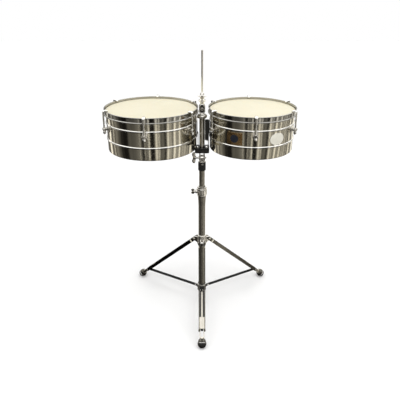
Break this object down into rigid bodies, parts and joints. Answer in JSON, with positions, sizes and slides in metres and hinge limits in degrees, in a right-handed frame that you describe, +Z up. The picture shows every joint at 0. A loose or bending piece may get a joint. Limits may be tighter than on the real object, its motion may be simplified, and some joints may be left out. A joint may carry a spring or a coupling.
{
  "type": "timbales",
  "caption": "Pair of open metal drums with tuning hooks either side of a post, on a height-adjustable tilting stand with a folding braced tripod and a bell rod.",
  "frame": {"origin": "middle of the bounding box at floor level, under the drums and tripod", "axes": "+Z up; +X to the smaller drum; the player stands at +Y and the audience at -Y"},
  "size_m": [0.8066, 0.597, 1.1905],
  "materials": {
    "shell_steel": "brushed round the shell, warm grey",
    "bright_chrome": "polished",
    "cast_chrome": "chromed casting, slightly soft",
    "tube_chrome": "dark bright-plated tube",
    "dark_casting": "black satin",
    "black_paint": "black gloss",
    "head_film": "cream drum film, faint sheen",
    "rubber": "matt",
    "nylon": "black nylon"
  },
  "bodies": {
    "base": {"base_tube": "tube_chrome", "tube_bush": "nylon", "height_clamp": "cast_chrome", "leg_collar": "cast_chrome"},
    "mast": {"upper_tube": "tube_chrome"},
    "tilter": {"swivel_socket": "dark_casting", "tilter_base": "cast_chrome"},
    "drums": {"tilter_clevis": "cast_chrome", "yoke_block": "dark_casting", "center_post": "tube_chrome", "post_collar": "cast_chrome", "rod_holder": "cast_chrome", "left_shell": "shell_steel", "left_head": "head_film", "left_rim": "bright_chrome", "left_shell_bracket": "dark_casting", "left_mount_bolt": "bright_chrome", "tuning_hook_left_1": "bright_chrome", "tuning_hook_left_2": "bright_chrome", "tuning_hook_left_3": "bright_chrome", "tuning_hook_left_4": "bright_chrome", "tuning_hook_left_5": "bright_chrome", "tuning_hook_left_6": "bright_chrome", "right_shell": "shell_steel", "right_head": "head_film", "right_rim": "bright_chrome", "right_shell_bracket": "dark_casting", "right_mount_bolt": "bright_chrome", "tuning_hook_right_1": "bright_chrome", "tuning_hook_right_2": "bright_chrome", "tuning_hook_right_3": "bright_chrome", "tuning_hook_right_4": "bright_chrome", "tuning_hook_right_5": "bright_chrome", "tuning_hook_right_6": "bright_chrome"},
    "bell_rod": {"bell_rod": "bright_chrome"},
    "height_screw": {"height_wing_screw": "cast_chrome"},
    "tilt_screw": {"tilt_wing_screw": "cast_chrome"},
    "rod_screw": {"rod_wing_screw": "cast_chrome"},
    "hub": {"brace_hub": "dark_casting"},
    "leg_front": {"leg_front": "tube_chrome", "foot_front": "rubber"},
    "brace_front": {"brace_front": "black_paint"},
    "leg_left": {"leg_left": "tube_chrome", "foot_left": "rubber"},
    "brace_left": {"brace_left": "black_paint"},
    "leg_right": {"leg_right": "tube_chrome", "foot_right": "rubber"},
    "brace_right": {"brace_right": "black_paint"},
    "nut_left_1": {"tuning_nut_left_1": "bright_chrome"},
    "nut_left_2": {"tuning_nut_left_2": "bright_chrome"},
    "nut_left_3": {"tuning_nut_left_3": "bright_chrome"},
    "nut_left_4": {"tuning_nut_left_4": "bright_chrome"},
    "nut_left_5": {"tuning_nut_left_5": "bright_chrome"},
    "nut_left_6": {"tuning_nut_left_6": "bright_chrome"},
    "nut_right_1": {"tuning_nut_right_1": "bright_chrome"},
    "nut_right_2": {"tuning_nut_right_2": "bright_chrome"},
    "nut_right_3": {"tuning_nut_right_3": "bright_chrome"},
    "nut_right_4": {"tuning_nut_right_4": "bright_chrome"},
    "nut_right_5": {"tuning_nut_right_5": "bright_chrome"},
    "nut_right_6": {"tuning_nut_right_6": "bright_chrome"}
  },
  "joints": [
    {"name": "height_slide", "type": "slide", "parent": "base", "child": "mast", "axis": [0, 0, 1], "range_m": [-0.065, 0.2]},
    {"name": "drum_swivel", "type": "hinge", "parent": "mast", "child": "tilter", "pos_m": [0.0075, 0.08546, 0.7201], "axis": [0, 0, 1], "continuous": true},
    {"name": "drum_tilt", "type": "hinge", "parent": "tilter", "child": "drums", "pos_m": [0.0075, 0.08546, 0.7378], "axis": [1, 0, 0], "range_deg": [-30, 30]},
    {"name": "bell_rod_slide", "type": "slide", "parent": "drums", "child": "bell_rod", "axis": [0, 0, 1], "range_m": [-0.09, 0.08]},
    {"name": "height_screw_turn", "type": "hinge", "parent": "base", "child": "height_screw", "pos_m": [-0.0231, 0.08546, 0.5775], "axis": [1, 0, 0], "continuous": true},
    {"name": "tilt_screw_turn", "type": "hinge", "parent": "drums", "child": "tilt_screw", "pos_m": [-0.0179, 0.08546, 0.7378], "axis": [1, 0, 0], "continuous": true},
    {"name": "rod_screw_turn", "type": "hinge", "parent": "drums", "child": "rod_screw", "pos_m": [0.0075, 0.07271, 1.0122], "axis": [0, 1, 0], "continuous": true},
    {"name": "legs_fold", "type": "hinge", "parent": "base", "child": "leg_front", "pos_m": [0.0075, 0.05046, 0.327], "axis": [1, 0, 0], "range_deg": [0, 44]},
    {"name": "leg_left_fold", "type": "hinge", "parent": "base", "child": "leg_left", "pos_m": [-0.02281, 0.10296, 0.327], "axis": [-0.5, -0.866, 0], "range_deg": [0, 44]},
    {"name": "leg_right_fold", "type": "hinge", "parent": "base", "child": "leg_right", "pos_m": [0.03781, 0.10296, 0.327], "axis": [-0.5, 0.866, 0], "range_deg": [0, 44]},
    {"name": "hub_slide", "type": "slide", "parent": "base", "child": "hub", "axis": [0, 0, 1], "range_m": [0, 0.1632]},
    {"name": "brace_front_fold", "type": "hinge", "parent": "hub", "child": "brace_front", "pos_m": [0.0075, 0.05146, 0.058], "axis": [1, 0, 0], "range_deg": [0, 85.8]},
    {"name": "brace_left_fold", "type": "hinge", "parent": "hub", "child": "brace_left", "pos_m": [-0.02194, 0.10246, 0.058], "axis": [-0.5, -0.866, 0], "range_deg": [0, 85.8]},
    {"name": "brace_right_fold", "type": "hinge", "parent": "hub", "child": "brace_right", "pos_m": [0.03694, 0.10246, 0.058], "axis": [-0.5, 0.866, 0], "range_deg": [0, 85.8]},
    {"name": "tuning_nut_left_1_turn", "type": "hinge", "parent": "drums", "child": "nut_left_1", "pos_m": [-0.21582, -0.12106, 0.965], "axis": [0, 0, 1], "continuous": true},
    {"name": "tuning_nut_left_2_turn", "type": "hinge", "parent": "drums", "child": "nut_left_2", "pos_m": [-0.03156, -0.02718, 0.965], "axis": [0, 0, 1], "continuous": true},
    {"name": "tuning_nut_left_3_turn", "type": "hinge", "parent": "drums", "child": "nut_left_3", "pos_m": [-0.02074, 0.17934, 0.965], "axis": [0, 0, 1], "continuous": true},
    {"name": "tuning_nut_left_4_turn", "type": "hinge", "parent": "drums", "child": "nut_left_4", "pos_m": [-0.19418, 0.29197, 0.965], "axis": [0, 0, 1], "continuous": true},
    {"name": "tuning_nut_left_5_turn", "type": "hinge", "parent": "drums", "child": "nut_left_5", "pos_m": [-0.37844, 0.19809, 0.965], "axis": [0, 0, 1], "continuous": true},
    {"name": "tuning_nut_left_6_turn", "type": "hinge", "parent": "drums", "child": "nut_left_6", "pos_m": [-0.38926, -0.00843, 0.965], "axis": [0, 0, 1], "continuous": true},
    {"name": "tuning_nut_right_1_turn", "type": "hinge", "parent": "drums", "child": "nut_right_1", "pos_m": [0.21411, -0.10881, 0.965], "axis": [0, 0, 1], "continuous": true},
    {"name": "tuning_nut_right_2_turn", "type": "hinge", "parent": "drums", "child": "nut_right_2", "pos_m": [0.38405, -0.01461, 0.965], "axis": [0, 0, 1], "continuous": true},
    {"name": "tuning_nut_right_3_turn", "type": "hinge", "parent": "drums", "child": "nut_right_3", "pos_m": [0.38744, 0.17966, 0.965], "axis": [0, 0, 1], "continuous": true},
    {"name": "tuning_nut_right_4_turn", "type": "hinge", "parent": "drums", "child": "nut_right_4", "pos_m": [0.22089, 0.27973, 0.965], "axis": [0, 0, 1], "continuous": true},
    {"name": "tuning_nut_right_5_turn", "type": "hinge", "parent": "drums", "child": "nut_right_5", "pos_m": [0.05095, 0.18553, 0.965], "axis": [0, 0, 1], "continuous": true},
    {"name": "tuning_nut_right_6_turn", "type": "hinge", "parent": "drums", "child": "nut_right_6", "pos_m": [0.04756, -0.00874, 0.965], "axis": [0, 0, 1], "continuous": true}
  ],
  "couplings": [
    {"joint": "leg_left_fold", "follows": "legs_fold", "ratio": 1},
    {"joint": "leg_right_fold", "follows": "legs_fold", "ratio": 1},
    {"joint": "hub_slide", "follows": "legs_fold", "m_per_rad": 0.21189},
    {"joint": "brace_front_fold", "follows": "legs_fold", "ratio": 1.9441},
    {"joint": "brace_left_fold", "follows": "legs_fold", "ratio": 1.9441},
    {"joint": "brace_right_fold", "follows": "legs_fold", "ratio": 1.9441}
  ]
}
